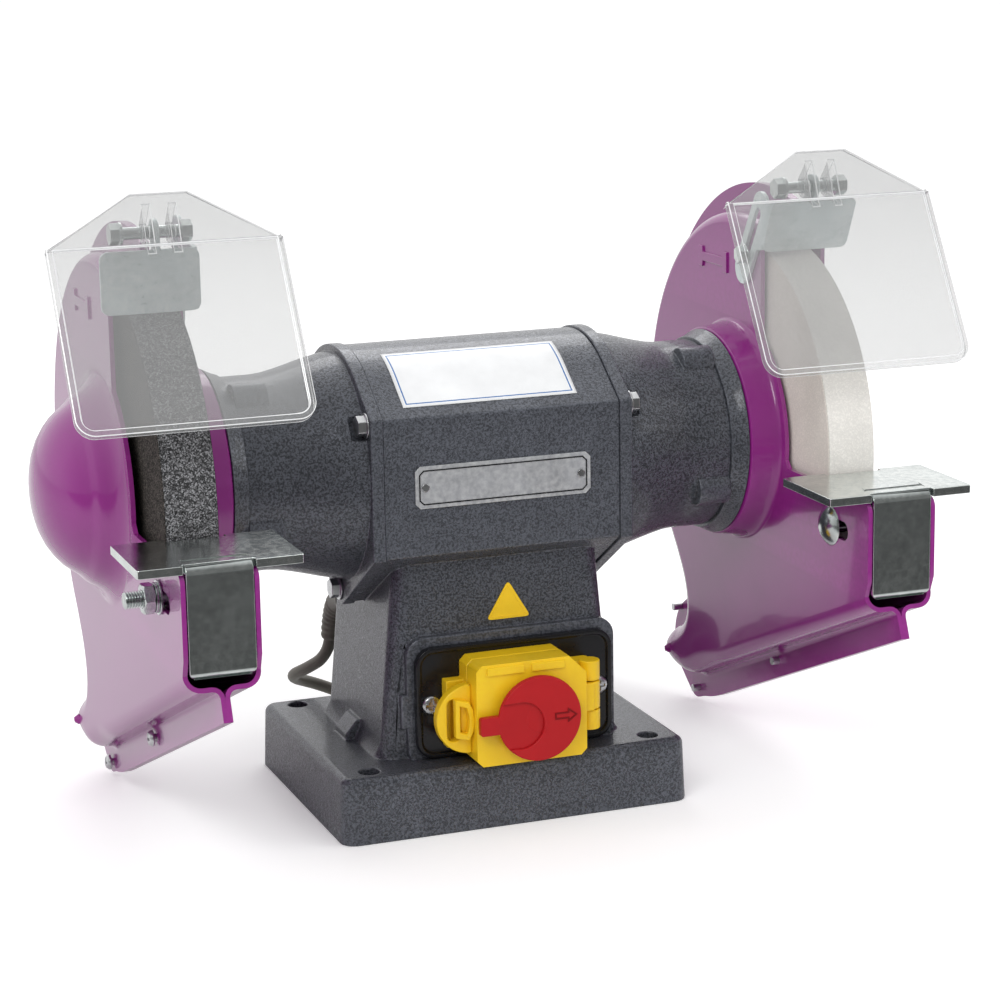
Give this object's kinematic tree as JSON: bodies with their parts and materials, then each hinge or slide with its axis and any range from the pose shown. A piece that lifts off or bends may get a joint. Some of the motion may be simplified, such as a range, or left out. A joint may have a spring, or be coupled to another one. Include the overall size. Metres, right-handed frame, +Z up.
{
  "type": "bench grinder",
  "caption": "Bench grinder: motor on a cast pedestal drives a wheel at each end, with guards, tool rests, clear eye shields and a lidded stop switch.",
  "frame": {"origin": "centre of the four bench bolt holes, on the underside of the base", "axes": "+X along the shaft, to the right seen from the front; +Y from front to back; +Z up"},
  "size_m": [0.4438, 0.3318, 0.3207],
  "materials": {
    "hammer_paint": "hammered gloss",
    "guard_paint": "gloss",
    "zinc": "satin",
    "steel": "satin",
    "core_steel": "matt",
    "copper": "satin",
    "bare_plate": "satin",
    "pale_plastic": "satin",
    "black_plastic": "satin",
    "yellow_plastic": "gloss",
    "red_plastic": "gloss",
    "green_plastic": "gloss",
    "grey_grit": "rough grit",
    "white_grit": "rough grit",
    "clear_plastic": "clear",
    "cord_rubber": "matt"
  },
  "bodies": {
    "machine": {"main_casting": "hammer_paint", "bottom_cover": "zinc", "bottom_cover_screws": "steel", "end_bell_left": "hammer_paint", "end_bell_right": "hammer_paint", "bell_bolts": "steel", "stator": "core_steel", "windings": "copper", "bearing_outer_rings": "steel", "run_capacitor": "pale_plastic", "capacitor_clamp": "zinc", "terminal_block": "pale_plastic", "name_plate": "bare_plate", "name_plate_rivets": "steel", "switch_plate": "black_plastic", "switch_screws": "steel", "switch_housing": "yellow_plastic", "switch_module": "black_plastic", "lid_hinge_pin": "steel", "guard_inner_left": "guard_paint", "guard_inner_right": "guard_paint", "guard_outer_left": "guard_paint", "guard_outer_right": "guard_paint", "guard_seam_screws_left": "steel", "guard_seam_screws_right": "steel", "guard_mount_screws": "steel", "deflector_screw_left": "zinc", "deflector_screw_right": "zinc", "cord_gland": "black_plastic", "cord_lead": "cord_rubber", "cord_coil": "cord_rubber", "cord_tail": "cord_rubber", "mains_plug": "black_plastic"},
    "rotor": {"shaft": "steel", "rotor_core": "core_steel", "bearing_inner_rings": "steel", "wheel_left": "grey_grit", "wheel_right": "white_grit", "wheel_flanges_left": "steel", "wheel_flanges_right": "steel", "wheel_nut_left": "steel", "wheel_nut_right": "steel"},
    "rest_left": {"tool_rest_left": "zinc", "rest_bolt_left": "zinc", "rest_nut_left": "zinc"},
    "rest_right": {"tool_rest_right": "zinc", "rest_bolt_right": "zinc", "rest_nut_right": "zinc"},
    "deflector_left": {"deflector_left": "zinc", "visor_bolt_left": "zinc"},
    "deflector_right": {"deflector_right": "zinc", "visor_bolt_right": "zinc"},
    "visor_left": {"visor_left": "clear_plastic"},
    "visor_right": {"visor_right": "clear_plastic"},
    "lid": {"switch_lid": "yellow_plastic", "lid_latch": "yellow_plastic"},
    "stop_pad": {"stop_pad": "red_plastic"},
    "start_button": {"start_button": "green_plastic"},
    "stop_button": {"stop_button": "red_plastic"}
  },
  "joints": [
    {"name": "rotor_spin", "type": "hinge", "parent": "machine", "child": "rotor", "pos_m": [0, 0, 0.1726], "axis": [1, 0, 0], "continuous": true},
    {"name": "rest_left_slide", "type": "slide", "parent": "machine", "child": "rest_left", "axis": [0, 1, 0], "range_m": [-0.012, 0.001]},
    {"name": "rest_right_slide", "type": "slide", "parent": "machine", "child": "rest_right", "axis": [0, 1, 0], "range_m": [-0.012, 0.001]},
    {"name": "deflector_left_slide", "type": "slide", "parent": "machine", "child": "deflector_left", "axis": [0, 0.1219, -0.9925], "range_m": [0, 0.003]},
    {"name": "deflector_right_slide", "type": "slide", "parent": "machine", "child": "deflector_right", "axis": [0, 0.5299, -0.848], "range_m": [0, 0.002]},
    {"name": "visor_left_tilt", "type": "hinge", "parent": "deflector_left", "child": "visor_left", "pos_m": [-0.1638, -0.04933, 0.29992], "axis": [1, 0, 0], "range_deg": [-60, 4]},
    {"name": "visor_right_tilt", "type": "hinge", "parent": "deflector_right", "child": "visor_right", "pos_m": [0.17, -0.05026, 0.3023], "axis": [1, 0, 0], "range_deg": [-60, 4]},
    {"name": "lid_hinge", "type": "hinge", "parent": "machine", "child": "lid", "pos_m": [0.0384, -0.0695, 0.0615], "axis": [0, 0, 1], "range_deg": [0, 110]},
    {"name": "stop_pad_press", "type": "slide", "parent": "lid", "child": "stop_pad", "axis": [0, 1, 0], "range_m": [0, 0.003], "stiffness_N_per_m": 600, "springref_m": -0.002},
    {"name": "start_button_press", "type": "slide", "parent": "machine", "child": "start_button", "axis": [0, 1, 0], "range_m": [0, 0.0025], "stiffness_N_per_m": 600, "springref_m": -0.002},
    {"name": "stop_button_press", "type": "slide", "parent": "machine", "child": "stop_button", "axis": [0, 1, 0], "range_m": [0, 0.003], "stiffness_N_per_m": 600, "springref_m": -0.002}
  ],
  "couplings": [
    {"joint": "stop_button_press", "follows": "stop_pad_press", "ratio": 1}
  ]
}
